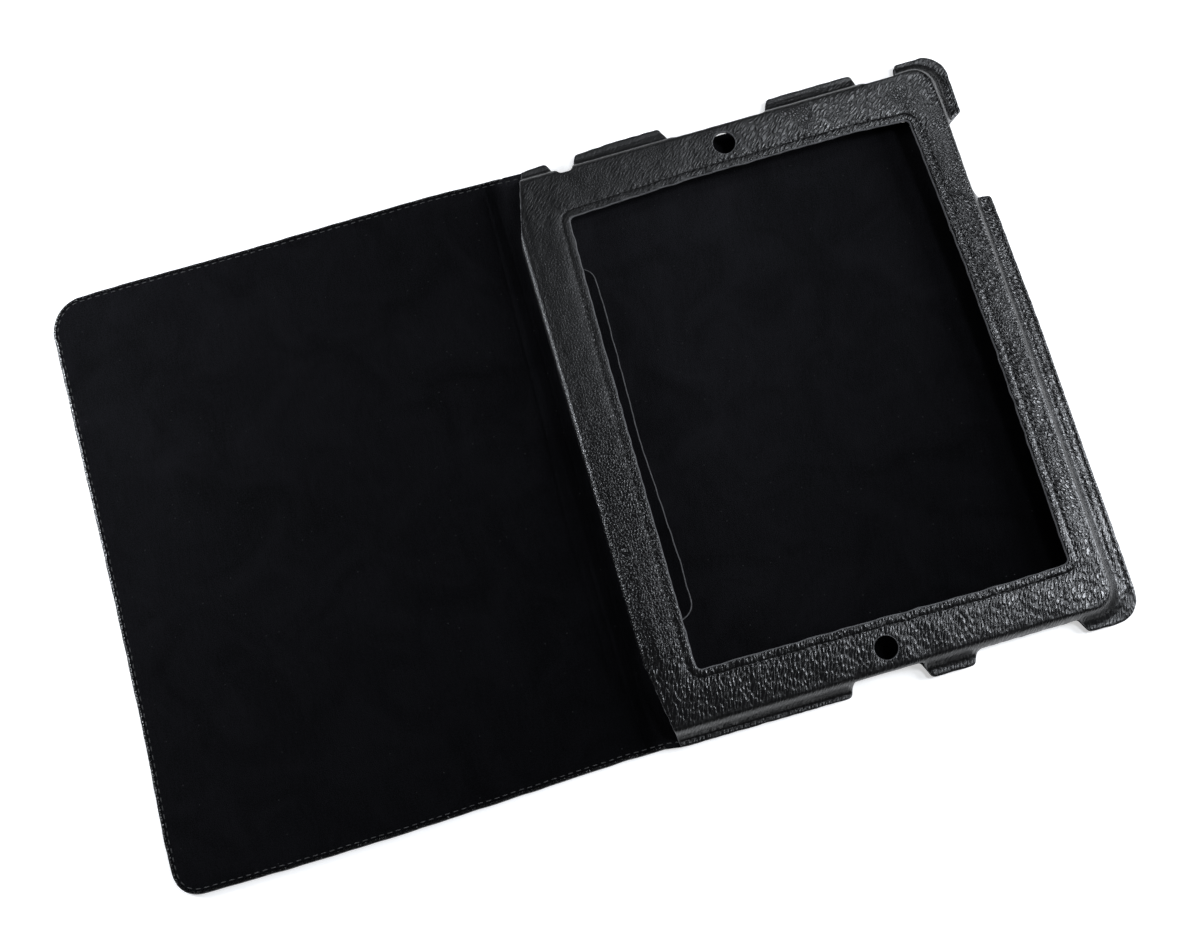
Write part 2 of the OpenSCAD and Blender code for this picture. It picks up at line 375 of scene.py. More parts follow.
def triangulate(loops, rows, pitch, seed, edge_steps):
    """Points and triangles that fill loops[0] outside loops[1:]."""
    fixed = np.concatenate(loops)
    inner = [inset(loop, -step if k else step) for k, loop in enumerate(loops) for step in edge_steps]
    near = np.concatenate(inner + list(rows))
    near = thin_out(near[inside_all(near, loops)], fixed, OUTLINE_GAP)
    base = np.concatenate([fixed, keep_apart(near, ROW_GAP)])
    fill = grid(fixed.min(axis=0), fixed.max(axis=0), pitch, seed)
    fill = thin_out(fill[inside_all(fill, loops)], base, FILL_GAP * pitch)
    points = [Vector(v) for v in np.concatenate([base, fill])]
    verts, _, faces = delaunay_2d_cdt(points, closed_edges(loops), [], 0, 1e-6)[:3]
    verts = np.array([tuple(v) for v in verts])
    faces = np.array(faces)
    faces = faces[inside_all(verts[faces].mean(axis=1), loops)]
    return only_used(verts, facing_up(verts, faces))


def inside_all(p, loops):
    """Which points lie inside loops[0] and outside loops[1:]."""
    result = within(p, loops[0])
    for hole in loops[1:]:
        result &= ~within(p, hole)
    return result


def keep_apart(p, gap):
    """The points in order, without any closer than gap to one before it."""
    cells = {}
    kept = []
    for x, y in p:
        cell = (int(x // gap), int(y // gap))
        around = [cells.get((cell[0] + i, cell[1] + j)) for i in (-1, 0, 1) for j in (-1, 0, 1)]
        if any(q is not None and (q[0] - x) ** 2 + (q[1] - y) ** 2 < gap * gap for q in around):
            continue
        cells[cell] = (x, y)
        kept.append((x, y))
    return np.array(kept).reshape(-1, 2)


def border(faces):
    """Directed edges of one triangle only, in order."""
    pairs = np.concatenate([faces[:, [0, 1]], faces[:, [1, 2]], faces[:, [2, 0]]])
    known = set(map(tuple, pairs.tolist()))
    edge = np.array([(a, b) for a, b in known if (b, a) not in known])
    return edge[np.lexsort((edge[:, 1], edge[:, 0]))]


def rim_normals(flat, edge, rim):
    """Outward unit normals at the points of the border."""
    along = unit(flat[edge[:, 1]] - flat[edge[:, 0]])
    side = np.stack([along[:, 1], -along[:, 0]], axis=1)
    out = np.zeros((len(flat), 2))
    np.add.at(out, edge[:, 0], side)
    np.add.at(out, edge[:, 1], side)
    return unit(out[rim])


def side_walls(edge, rim, count):
    """Faces from the upper border to the points halfway down, and on to the lower border."""
    ring = np.full(count, -1)
    ring[rim] = 2 * count + np.arange(len(rim))
    a, b = edge[:, 0], edge[:, 1]
    wall_up = np.stack([b, a, ring[a], ring[b]], axis=1)
    wall_down = np.stack([ring[b], ring[a], a + count, b + count], axis=1)
    return wall_up.tolist() + wall_down.tolist()


def plate(name, loops, top, bottom, pitch, rows, edge_steps, bulge, place, seed, mats, cut=()):
    """A sheet between two height functions, with side walls; place folds it out of the plane.

    mats are those of the upper face, the edge and the lower face; cut lists (line, width) of bared edges."""
    loops = [ccw(loop) for loop in loops]
    flat, faces = triangulate(loops, rows, pitch, seed, edge_steps)
    edge = border(faces)
    rim = np.unique(edge)
    upper, lower = top(flat), bottom(flat)
    xy = np.concatenate([flat, flat, flat[rim] + rim_normals(flat, edge, rim) * bulge])
    z = np.concatenate([upper, lower, (upper[rim] + lower[rim]) / 2])
    polygons = faces.tolist() + (faces[:, ::-1] + len(flat)).tolist() + side_walls(edge, rim, len(flat))
    upper_kinds = np.zeros(len(faces), int)
    for line, width in cut:
        upper_kinds[away(flat[faces].mean(axis=1), line) < width] = 1
    kinds = upper_kinds.tolist() + [2] * len(faces) + [1] * (2 * len(edge))
    position = np.column_stack([xy, z])
    if place is not None:
        position = place(position)
    return mesh_object(name, position, polygons, kinds, xy, mats)


def add_object(name, data):
    """A new object in the scene."""
    obj = bpy.data.objects.new(name, data)
    bpy.context.scene.collection.objects.link(obj)
    return obj


SHARP_DEGREES = 50


def mesh_object(name, position, polygons, kinds, flat, mats):
    """A mesh in metres, with the material of each kind of face and its flat pattern as UV."""
    mesh = bpy.data.meshes.new(name)
    mesh.from_pydata((position * MM).tolist(), [], polygons)
    slots = []
    for mat in mats:
        if mat not in slots:
            slots.append(mat)
            mesh.materials.append(mat)
    index = [slots.index(mats[k]) for k in kinds]
    mesh.polygons.foreach_set("material_index", index)
    mesh.polygons.foreach_set("use_smooth", [True] * len(polygons))
    layer = mesh.uv_layers.new(name="flat")
    corner = np.zeros(len(mesh.loops), int)
    mesh.loops.foreach_get("vertex_index", corner)
    layer.data.foreach_set("uv", (flat[corner] * MM).ravel())
    mesh.update()
    mesh.set_sharp_from_angle(angle=math.radians(SHARP_DEGREES))
    return add_object(name, mesh)


# ---- Loops

CLIP_STEP = 0.9


def clip_x(loop, x, keep):
    """The part of a loop with x below (keep -1) or above (keep 1) a straight cut."""
    out = []
    for a, b in zip(loop, np.roll(loop, -1, axis=0)):
        a_in, b_in = keep * (a[0] - x) > 0, keep * (b[0] - x) > 0
        if a_in:
            out.append(a)
        if a_in != b_in:
            out.append(a + (b - a) * (x - a[0]) / (b[0] - a[0]))
    return resample(np.array(out), CLIP_STEP)


def circle(x, y, r, count=40):
    angle = np.arange(count) * 2 * math.pi / count
    return np.stack([x + r * np.cos(angle), y + r * np.sin(angle)], axis=1)


def fold_u(x):
    """Distance along the leather, measured as x on the flat rail and on round the fold."""
    if x >= FOLD_X:
        return x
    return FOLD_X - FOLD_R * math.asin(min(1.0, (FOLD_X - x) / FOLD_R))


def slant(tip, fold_y):
    """Points of a rail's slanted end, from tip to fold."""
    low_x = FRAME_LOW[0]
    steps = [FOLD_X - FOLD_R * share for share in (0.0, 0.3, 0.55, 0.75, 0.9, 0.98, 1.0)]
    share = [(x - tip[0]) / (low_x - tip[0]) for x in steps]
    return [(fold_u(x), tip[1] + s * (fold_y - tip[1])) for x, s in zip(steps, share)]


FOLD_U_END = FOLD_X - FOLD_R * math.pi / 2 - (RAIL_TOP - FOLD_R - FOLD_END)


def frame_points():
    """The frame's outline on its flat pattern, with the part folded down on the left."""
    up = slant(BOTTOM_TIP, FOLD_BOTTOM_Y)
    end = [(FOLD_U_END, FOLD_BOTTOM_Y + 1), (FOLD_U_END, FOLD_TOP_Y - 1)]
    down = slant(TOP_TIP, FOLD_TOP_Y)[::-1]
    return [TOP_TIP] + TOP_EDGE + RIGHT_EDGE + BOTTOM_EDGE + [BOTTOM_TIP] + up + end + down


def case_points():
    """The whole open case: cover, spine and holder in one outline."""
    deeper = [(x, BACK_NOTCH_Y if y == TOP_NOTCH_Y else y, r) for x, y, r in TOP_EDGE]
    spine_top = [(COVER_HIGH[0], SPINE_TOP_Y + 0.5), (-97.5, SPINE_TOP_Y), TOP_TIP[:2]]
    spine_low = [BOTTOM_TIP[:2], (-98.5, -126.9), (COVER_HIGH[0], SPINE_BOTTOM_Y)]
    return COVER_EDGE + spine_top + deeper + RIGHT_EDGE + BOTTOM_EDGE + spine_low


# The holder's outline without notches, which the flange's seam follows.
BASE_LOOP = rounded([
    (-140, 128), TOP_TIP[:2], (-25, 130.5), (24, 130), (62, 130.1), (103.7, 129.2, 15.5),
    (104, 60), (105.4, 0), (105.6, -129.6, 18), (0, -129), BOTTOM_TIP[:2], (-140, -127.4)])
WINDOW_LOOP = wavy(rounded(WINDOW, 0.6), 0.16, 9, 5)
FRAME_LOOP = wavy(rounded(frame_points(), 0.6), 0.10, 6, 6)
CASE_LOOP = wavy(rounded(case_points(), 0.8), 0.10, 11, 7)
HOLE_TOP = circle(HOLE_X, HOLE_Y, HOLE_R)
HOLE_BOTTOM = circle(HOLE_X, -HOLE_Y, HOLE_R)
LENS_LOOP = circle(*LENS_HOLE, LENS_HOLE_R)


def seam_path(loop, distance):
    """A seam line that distance inside a loop, or outside it where distance is negative."""
    return resample(inset(loop, distance), 0.5)


LOOK_AHEAD = 0.4  # a stitch points this far along its seam


def stitch_spots(path, pitch, allowed):
    """Middles and directions of stitches along a closed line, and the needle holes between."""
    ring = np.concatenate([path, path[:1]])
    gaps = np.linalg.norm(np.diff(ring, axis=0), axis=1)
    run = np.concatenate([[0], np.cumsum(gaps)])
    count = int(run[-1] / pitch)
    holes = np.arange(count) * run[-1] / count
    middle = holes + 0.5 * run[-1] / count
    spots, ahead, pricks = (np.stack([np.interp(at, run, ring[:, k]) for k in (0, 1)], axis=1)
                            for at in (middle, middle + LOOK_AHEAD, holes))
    good = allowed(spots)
    return spots[good], unit(ahead - spots)[good], pricks[allowed(pricks)]


def anywhere(p):
    return np.ones(len(p), bool)


def on_flange(p):
    return within(p, FRAME_LOOP) & (away(p, FRAME_LOOP) > 1.3) & (p[:, 0] > -95)


def on_cover(p):
    return p[:, 0] < -90.5


WINDOW_SEAM_LINE = seam_path(WINDOW_LOOP, -WINDOW_SEAM)
FLANGE_SEAM_LINE = seam_path(BASE_LOOP, FLANGE_SEAM)
COVER_SEAM_LINE = seam_path(CASE_LOOP, COVER_SEAM)
WINDOW_SPOTS = stitch_spots(WINDOW_SEAM_LINE, WINDOW_PITCH, anywhere)
FLANGE_SPOTS = stitch_spots(FLANGE_SEAM_LINE, FLANGE_PITCH, on_flange)
COVER_SPOTS = stitch_spots(COVER_SEAM_LINE, COVER_PITCH, on_cover)


def pricked(p, holes, width=0.55):
    """1 at a needle hole, falling to 0 round it."""
    return np.exp(-(nearest(tree_of(holes), p) / width) ** 2)


def seam_rows(path, offsets, pitch):
    """Extra mesh points beside a seam, four to a stitch."""
    step = pitch / 4
    line = keep_apart(resample(path, step), 0.8 * step)
    out = normals(line)
    return [line + out * offset for offset in offsets]


# ---- Heights

def level(z):
    """A flat face's height function."""
    return lambda p: np.full(len(p), z)


def wall_share(p, lift):
    """0 at the top of the frame's wall and 1 at its foot, and the distance out from its top."""
    top = rounded_box(p, WALL_X, WALL_Y, WALL_R) + lift
    foot = rounded_box(p, FOOT_X, FOOT_Y, FOOT_R) + lift
    return top / np.maximum(top - foot, 0.5), top


def frame_form(p, lift, rail, flange):
    """Height of rail, wall and flange, softly joined."""
    share, _ = wall_share(p, lift)
    wall = rail - WALL_DROP - (rail - WALL_DROP - flange) * share
    ends = smooth(np.abs(p[:, 1]), ENDS_FROM, ENDS_TO)
    top = soft_min(rail, wall, SHOULDER_SOFT + SHOULDER_SOFTER * ends)
    return soft_max(top, flange, FOOT_SOFT + FOOT_SOFTER * ends)


def frame_relief(p):
    """Padded lips, seam valleys and soft waves of the formed leather."""
    from_window = away(p, WINDOW_LOOP)
    from_edge = away(p, BASE_LOOP)
    share, out = wall_share(p, 0)
    right = smooth(p[:, 0], 60, 85)
    lip = (0.14 + 0.26 * right) * np.sin(math.pi * np.clip(from_window / WINDOW_SEAM, 0, 1))
    valley = -0.09 * bell(from_window, WINDOW_SEAM, 0.45)
    crown = 0.22 * smooth(from_window, 4, 8) * smooth(-out, 0.5, 6)
    ridge = 0.45 * right * bell(out, -1.2, 1.5)
    flange = 0.2 * bell(from_edge, 0.8, 0.7) - 0.08 * bell(from_edge, FLANGE_SEAM, 0.5)
    flange += (0.15 + 0.3 * right) * bell(from_edge, 4.0, 1.1)
    waves = 0.09 * ripple(p, 17, 3) + 0.05 * ripple(p, 6, 4)
    left = 1 - smooth(p[:, 0], -88, -84)
    gutter = -0.28 * left * bell(p[:, 0], -93.2 + 0.4 * ripple(p, 60, 9), 1.5)
    buckle = 0.5 * bell(p[:, 0], -89.8 - 0.02 * (p[:, 1] + 60), 1.7) * bell(p[:, 1], -62, 30)
    rings = sum(0.12 * bell(np.hypot(p[:, 0] - HOLE_X, p[:, 1] - y), 6.3, 0.8) for y in (-HOLE_Y, HOLE_Y))
    total = lip + valley + crown + ridge + flange * smooth(share, 0.9, 1.25) + waves + rings
    total = (total + gutter + buckle) * (1 - 0.6 * bell(share, 0.5, 0.45))
    return total * smooth(p[:, 0], FOLD_U_END, FOLD_U_END + 2.5)


def frame_upper(p):
    """The leather's face, with needle holes and thinned cut edges."""
    z = frame_form(p, 0, RAIL_TOP, FLANGE_TOP) + frame_relief(p)
    z -= 0.34 * pricked(p, WINDOW_SPOTS[2], 0.5) + 0.1 * pricked(p, FLANGE_SPOTS[2], 0.5)
    cut = np.minimum(away(p, WINDOW_LOOP), away(p, FRAME_LOOP))
    z -= 0.22 * (1 - smooth(cut, 0, 0.5)) * smooth(p[:, 0], FOLD_U_END, FOLD_U_END + 1)
    return soft_min(z, CLOSED_COVER_Z, 0.5)


def frame_lower(p):
    """The leather's underside, which follows only its raised parts."""
    z = frame_form(p, RAIL_T, RAIL_TOP - RAIL_T, FLANGE_TOP - FLANGE_T)
    return z + 0.5 * np.maximum(frame_relief(p), 0)


def fold_rail(v):
    """Bends the flat pattern of the frame's leather down round the fold beside the spine."""
    x, y, z = v.T
    turn = np.clip((FOLD_X - x) / FOLD_R, 0, math.pi / 2)
    past = np.maximum(FOLD_X - x - FOLD_R * math.pi / 2, 0)
    r = FOLD_R + z - RAIL_TOP
    folded_x = FOLD_X - r * np.sin(turn)
    folded_z = RAIL_TOP - FOLD_R + r * np.cos(turn) - past
    bent = x < FOLD_X
    return np.column_stack([np.where(bent, folded_x, x), y, np.where(bent, folded_z, z)])


FLAP_ROLL = FLAP_AXIS[0] - FRAME_LOW[0]
FLAP_DROP = FOLD_END - FLAP_AXIS[2]
FLAP_FLAT = FLAP_DROP + FLAP_ROLL * math.pi / 2


def flap_v(x):
    """Distance along the flap's leather from where it leaves the rail's fold."""
    return FLAP_FLAT + x - FLAP_AXIS[0]


def fold_flap(v):
    """Bends the flap's flat pattern down and round its roll into the pocket."""
    s, y, h = v.T
    turn = np.clip((s - FLAP_DROP) / FLAP_ROLL, 0, math.pi / 2)
    r = FLAP_ROLL - h
    x = FLAP_AXIS[0] - r * np.cos(turn) + np.maximum(s - FLAP_FLAT, 0)
    z = FLAP_AXIS[2] - r * np.sin(turn) + np.maximum(FLAP_DROP - s, 0)
    return np.column_stack([x, y, z])


# Creases in the spine's suede: points along them, depth and width.
CREASES = [
    ([(-106.5, 122), (-108.3, 55), (-109.2, 20), (-111.3, -20), (-111.2, -95)], 0.34, 0.6),
    ([(-107.3, -45), (-107, -100), (-105, -124)], 0.26, 0.5),
    ([(-102.4, 118), (-101.8, 40), (-102.2, -30), (-102, -118)], 0.16, 0.5),
]
# The closed frame's mark on the cover's suede, and a faint line down the cover.
IMPRINT = rounded([(-289.5, -99, 2), (-289.5, 104.5, 2), (-132.5, 104.5, 2), (-132.5, -99, 2)], 2)
PANEL_LINE = [(-172.5, 127), (-175, 0), (-178, -126)]


def there_and_back(line):
    """An open line as a closed one, for away()."""
    line = resample(np.array(line, float), 1.0, closed=False)
    return np.concatenate([line, line[::-1]])


def suede_relief(p):
    """Waves, pressed lines and creases, with fine wrinkles low on the spine."""
    z = 0.07 * ripple(p, 48, 12) + 0.03 * ripple(p, 13, 13)
    z -= 0.09 * bell(away(p, IMPRINT), 0, 1.3)
    z -= 0.05 * bell(away(p, there_and_back(PANEL_LINE)), 0, 1.5)
    for line, depth, width in CREASES:
        z -= depth * bell(away(p, there_and_back(line)), 0, width)
    low = bell(p[:, 0], SPINE_MID, 5) * smooth(-p[:, 1], 40, 100)
    return z + 0.06 * low * np.sin(p[:, 0] * 3.1 + 0.06 * p[:, 1] + ripple(p, 20, 14))


def suede_upper(p):
    """The inner suede's face, pulled down at its seam."""
    edge = away(p, CASE_LOOP)
    z = PANEL_TOP + suede_relief(p) * smooth(edge, 1, 5)
    z -= 0.1 * bell(edge, COVER_SEAM, 0.7) * (p[:, 0] < -90)
    return z - 0.18 * pricked(p, COVER_SPOTS[2])


def rim_share(p):
    """1 where the outer leather is turned over the edge, 0 where the layers are cut flush."""
    return 1 - smooth(p[:, 0], -98.6, -96.8)


def skin_upper(p):
    """The outer leather's inner face, which rises where its rim is turned over."""
    edge = away(p, CASE_LOOP)
    turned = (1 - smooth(edge, RIM - 0.2, RIM)) * rim_share(p)
    round_off = 0.6 * np.maximum(1 - edge / 0.6, 0) ** 2
    return LEATHER_T - 0.01 + turned * (PANEL_TOP + 0.1 - LEATHER_T - round_off)


def skin_lower(p):
    """The outer leather's outer face, with its seams."""
    edge = away(p, CASE_LOOP)
    z = 0.05 * (1 + ripple(p, 30, 21)) * 0.5 + 0.16 * bell(edge, COVER_SEAM, 0.6)
    z += 0.22 * pricked(p, np.concatenate([COVER_SPOTS[2], FLANGE_SPOTS[2]]))
    return z + 0.5 * np.maximum(1 - edge / 0.6, 0) ** 2


# ---- Stitches

def tube_faces(start, rings, sides):
    """Faces of a closed tube whose points start at that number."""
    faces = []
    for k in range(rings - 1):
        for j in range(sides):
            a, b = start + k * sides + j, start + k * sides + (j + 1) % sides
            faces.append((a, a + sides, b + sides, b))
    last = start + (rings - 1) * sides
    faces.append(tuple(start + j for j in range(sides)))
    faces.append(tuple(last + sides - 1 - j for j in range(sides)))
    return faces


def stitch_mesh(name, spots, along, surface, length, width, mat, up):
    """One sunk loop of thread for each spot; up is -1 on a lower face."""
    rings, sides = 7, 7
    t = np.linspace(-1, 1, rings)
    thick = width / 2 * np.sqrt(np.maximum(1 - 0.75 * t ** 4, 0.05))
    rise = up * (width * 0.30 - width * 1.1 * t ** 4)
    angle = np.arange(sides) * 2 * math.pi / sides
    position, flat, polygons = [], [], []
    for (x, y), (dx, dy), z in zip(spots, along, surface(spots)):
        start = len(position)
        for k in range(rings):
            for a in angle:
                side = thick[k] * math.cos(a)
                px = x + dx * t[k] * length / 2 - dy * side
                py = y + dy * t[k] * length / 2 + dx * side
                position.append((px, py, z + rise[k] + 0.75 * thick[k] * math.sin(a)))
                flat.append((t[k] * length / 2 + x + y, a * width / 2))
        polygons += tube_faces(start, rings, sides)
    kinds = [0] * len(polygons)
    return mesh_object(name, np.array(position), polygons, kinds, np.array(flat), (mat,))


def joined(name, objects):
    """Several meshes as one piece."""
    with bpy.context.temp_override(active_object=objects[0], selected_editable_objects=objects):
        bpy.ops.object.join()
    objects[0].name = name
    objects[0].data.name = name
    return objects[0]


# ---- Materials

class Tree:
    """A short way to write a material's nodes."""

    def __init__(self, name):
        self.mat = bpy.data.materials.new(name)
        self.mat.use_nodes = True
        self.nodes = self.mat.node_tree.nodes
        self.links = self.mat.node_tree.links
        self.shader = self.nodes["Principled BSDF"]

    def add(self, kind, inputs=None, out=0, **props):
        node = self.nodes.new("ShaderNode" + kind)
        for key, value in props.items():
            setattr(node, key, value)
        self.put(node, inputs or {})
        return node.outputs[out]

    def put(self, node, inputs):
        """Links the node's inputs or sets their values."""
        for key, value in inputs.items():
            if isinstance(value, bpy.types.NodeSocket):
                self.links.new(value, node.inputs[key])
            else:
                node.inputs[key].default_value = value

    def shade(self, inputs):
        """The material, with those inputs of its shader."""
        self.put(self.shader, inputs)
        return self.mat

    def math(self, operation, a, b=0.0, c=0.0):
        return self.add("Math", {0: a, 1: b, 2: c}, operation=operation)

    def times(self, a, b):
        return self.math("MULTIPLY", a, b)

    def plus(self, a, b):
        return self.math("ADD", a, b)

    def span(self, value, low, high, to_low=0.0, to_high=1.0):
        inputs = {"Value": value, "From Min": low, "From Max": high, "To Min": to_low, "To Max": to_high}
        return self.add("MapRange", inputs, interpolation_type="SMOOTHSTEP")

    def mix(self, factor, a, b):
        """The colours a and b, mixed."""
        return self.add("Mix", {0: factor, 6: a, 7: b}, out=2, data_type="RGBA")

    def blend(self, factor, a, b):
        """The numbers a and b, mixed."""
        return self.add("Mix", {0: factor, 2: a, 3: b})

    def flat_mm(self):
        """The piece's flat pattern in mm, which moves with the piece as it bends."""
        uv = self.add("UVMap", uv_map="flat")
        return self.add("VectorMath", {0: uv, "Scale": 1000.0}, operation="SCALE")

    def noise(self, vector, scale, detail=2.0, rough=0.5, distort=0.0):
        inputs = {"Vector": vector, "Scale": scale, "Detail": detail, "Roughness": rough,
                  "Distortion": distort}
        return self.add("TexNoise", inputs, noise_dimensions="2D")

    def turned(self, vector, degrees, long_mm, wide_mm):
        """Coordinates for a pattern of marks long_mm by wide_mm that lie at that angle."""
        turn = self.add("VectorRotate", {"Vector": vector, "Angle": math.radians(-degrees)},
                        rotation_type="Z_AXIS")
        return self.add("VectorMath", {0: turn, 1: (1 / long_mm, 1 / wide_mm, 1)}, operation="MULTIPLY")

    def split(self, vector):
        """The vector's x and y."""
        return self.add("SeparateXYZ", {0: vector}).node.outputs[:2]

    def finish(self, colour, roughness, height, depth_mm, specular=0.5, sheen=0.0):
        bump = self.add("Bump", {"Height": height, "Distance": depth_mm * MM, "Strength": 1.0})
        return self.shade({"Base Color": colour, "Roughness": roughness, "Normal": bump,
                           "Specular IOR Level": specular, "Sheen Weight": sheen, "Sheen Roughness": 0.45})


WHITE = (1.0, 1.0, 1.0, 1.0)


def grey(value, blue=0.03):
    return (value, value, value * (1 + blue), 1.0)


def pebbles(tree, mm, size, seed):
    """Height of a pebbled grain: cells about size mm across, with fine valleys."""
    shift = tree.add("VectorMath", {0: mm, 1: (seed * 7.3, seed * 3.1, 0)}, operation="ADD")
    warp = tree.add("TexNoise", {"Vector": shift, "Scale": 0.9 / size, "Detail": 2.0}, out=1,
                    noise_dimensions="2D")
    moved = tree.add("VectorMath", {0: warp, 1: (0.8 * size, 0.8 * size, 0), 2: shift},
                     operation="MULTIPLY_ADD")
    edge = tree.add("TexVoronoi", {"Vector": moved, "Scale": 1 / size}, feature="DISTANCE_TO_EDGE",
                    voronoi_dimensions="2D")
    return tree.span(edge, 0.0, 0.36)


def formed_grain(tree, mm, cells):
    """The frame's grain, drawn into folds and worn: its cells, depth, dullness and fineness."""
    x, y = tree.split(mm)
    patchy = tree.span(tree.noise(mm, 0.05), 0.32, 0.52)
    top = pebbles(tree, tree.turned(mm, 40, 4.4, 1.3), 1.0, 3)
    low = pebbles(tree, tree.turned(mm, 66, 3.8, 1.35), 1.0, 4)
    side = pebbles(tree, tree.turned(mm, -50, 2.6, 1.25), 1.0, 5)
    cells = tree.blend(tree.times(tree.span(x, 60.0, 82.0), patchy), cells, side)
    cells = tree.blend(tree.times(tree.span(y, 70.0, 104.0), patchy), cells, top)
    cells = tree.blend(tree.span(y, -70.0, -102.0), cells, low)
    worn = tree.span(tree.math("MULTIPLY_ADD", y, -0.6, x), -100.0, -20.0, 1.0, 0.0)
    worn = tree.times(worn, tree.span(y, -30.0, 50.0, 0.15, 1.0))
    depth = tree.math("MULTIPLY_ADD", worn, -0.45, 1.0)
    wall = tree.span(tree.math("ABSOLUTE", y), 117.0, 121.0)
    dull = tree.plus(tree.times(worn, 0.13), tree.times(wall, 0.13))
    return cells, depth, dull, tree.math("MULTIPLY_ADD", worn, 0.05, 0.015)


def leather(name, base, grain, formed, seed):
    """Black leather with a pebbled grain, whose heights are in mm, with painted highlights on the grain's
    crests and painted shade in its valleys.
    """
    tree = Tree(name)
    mm = tree.flat_mm()
    cells = pebbles(tree, mm, grain, seed)
    depth, dull, fineness = 1.0, 0.0, 0.015
    if formed:
        cells, depth, dull, fineness = formed_grain(tree, mm, cells)
    fine = tree.noise(mm, 1.6, 1.0)
    swell = tree.noise(mm, 0.33)
    pebbled = tree.times(tree.times(cells, 0.11), depth)
    height = tree.plus(pebbled, tree.times(fine, fineness))
    height = tree.plus(height, tree.times(swell, 0.07))
    highlight_patches = tree.noise(mm, 0.12, 3.0, 0.6)
    # Painted light: crests are coloured lighter (painted highlight) and valleys darker (painted shade); the
    # crests are lighter in some patches than in others.
    tone = tree.times(cells, tree.span(highlight_patches, 0.3, 0.7, 0.6, 1.3))
    colour = tree.mix(tone, grey(base * 0.25, 0.1), grey(base * 2.0, 0.14))
    roughness = tree.plus(tree.blend(cells, 0.32, 0.17), dull)
    return tree.finish(colour, roughness, height, 1.0)


def suede(name, base, degrees, middle_x, lighter, darker, gutter):
    """Near-black microsuede: fine nap, a few specks of lint, painted light falling off from a lit corner to
    a shaded one, and painted shade by the spine if gutter is set.
    """
    tree = Tree(name)
    mm = tree.flat_mm()
    nap = tree.noise(mm, 2.2, 3.0, 0.7)
    cloud = tree.noise(mm, 0.035, 4.0, 0.6, 0.8)
    brushed = tree.noise(tree.turned(mm, degrees, 9.0, 1.2), 1.0, 3.0, 0.6)
    tone = tree.plus(tree.times(cloud, 0.2), tree.times(brushed, 0.1))
    tone = tree.plus(tone, tree.times(nap, 0.7))
    x, y = tree.split(mm)
    # Painted light: the colour is lighter towards one corner and darker towards the other, along the
    # diagonal.
    along = tree.math("SUBTRACT", tree.math("SUBTRACT", x, middle_x), y)
    painted_falloff = tree.add("MapRange", {"Value": along, "From Min": -200.0, "From Max": 200.0,
                                  "To Min": lighter, "To Max": darker})
    # Painted shade: the suede darkens towards the spine, beside the rail's fold.
    if gutter:
        painted_falloff = tree.times(painted_falloff, tree.span(x, -104.0, -96.0, 0.35, 1.0))
    colour = tree.mix(tree.span(tone, 0.36, 0.64), grey(base * 0.5, 0.1), grey(base * 1.5, 0.16))
    colour = tree.add("VectorMath", {0: colour, "Scale": painted_falloff}, operation="SCALE")
    cells = tree.add("TexVoronoi", {"Vector": mm, "Scale": 0.12}, voronoi_dimensions="2D")
    lint = tree.span(cells, 0.012, 0.03, 1.0, 0.0)
    few = tree.span(tree.noise(mm, 0.3, 1.0), 0.56, 0.62)
    colour = tree.mix(tree.times(lint, tree.times(few, 0.8)), colour, grey(0.05))
    return tree.finish(colour, 1.0, nap, 0.12, specular=0.0)


def raw_edge(name, base):
    """Cut leather: pale, matt and fibrous."""
    tree = Tree(name)
    mm = tree.flat_mm()
    fibre = tree.noise(mm, 5.0, 4.0, 0.7)
    patch = tree.noise(mm, 0.4)
    tone = tree.times(tree.span(fibre, 0.3, 0.7), tree.span(patch, 0.3, 0.6, 0.55, 1.0))
    return tree.finish(tree.mix(tone, grey(base * 0.3), grey(base)), 0.9, fibre, 0.15, specular=0.3)


def thread(name, base):
    tree = Tree(name)
    mm = tree.flat_mm()
    twist = tree.add("TexWave", {"Vector": tree.turned(mm, 35, 1.0, 1.0), "Scale": 0.7, "Distortion": 0.3})
    colour = tree.mix(twist, grey(base * 0.4), grey(base * 1.4))
    return tree.finish(colour, 0.55, twist, 0.08, sheen=0.1)


def board(name, dark, light, scale):
    """Greyboard, interlining or plastic strip: mottled and matt."""
    tree = Tree(name)
    mm = tree.flat_mm()
    fibre = tree.noise(mm, scale, 5.0, 0.7)
    return tree.finish(tree.mix(tree.span(fibre, 0.3, 0.7), dark, light), 0.85, fibre, 0.1, specular=0.3)


def floor_paper(name):
    tree = Tree(name)
    at = tree.add("TexCoord", out=3)
    cloud = tree.add("TexNoise", {"Vector": at, "Scale": 3.0, "Detail": 3.0})
    colour = tree.mix(cloud, (0.86, 0.86, 0.86, 1), (0.88, 0.88, 0.88, 1))
    return tree.shade({"Base Color": colour, "Roughness": 0.9, "Specular IOR Level": 0.1,
                       "Emission Color": WHITE, "Emission Strength": 0.5})


OUTER = leather("outer_leather", 0.003, 1.3, False, 1)
FORMED = leather("formed_leather", 0.002, 1.2, True, 2)
# Each suede's middle_x, lighter and darker set its painted light falloff; the pocket's suede also has
# painted shade by the spine.
SUEDE = suede("pocket_suede", 0.0046, 80, 0.0, 2.2, 0.36, True)
COVER_SUEDE = suede("cover_suede", 0.0044, 89, -208.0, 1.4, 0.66, False)
RAW = raw_edge("cut_leather", 0.17)
RAW_DARK = raw_edge("cut_leather_dark", 0.05)
THREAD = thread("black_thread", 0.012)
BOARD = board("greyboard_mix", (0.30, 0.25, 0.19, 1), (0.45, 0.40, 0.33, 1), 2.0)
STRIP = board("strip_sheet", (0.60, 0.60, 0.57, 1), (0.72, 0.72, 0.69, 1), 0.6)
INTERLINING = board("interlining_felt", (0.52, 0.52, 0.50, 1), (0.68, 0.68, 0.65, 1), 3.0)


# ---- The holder's frame

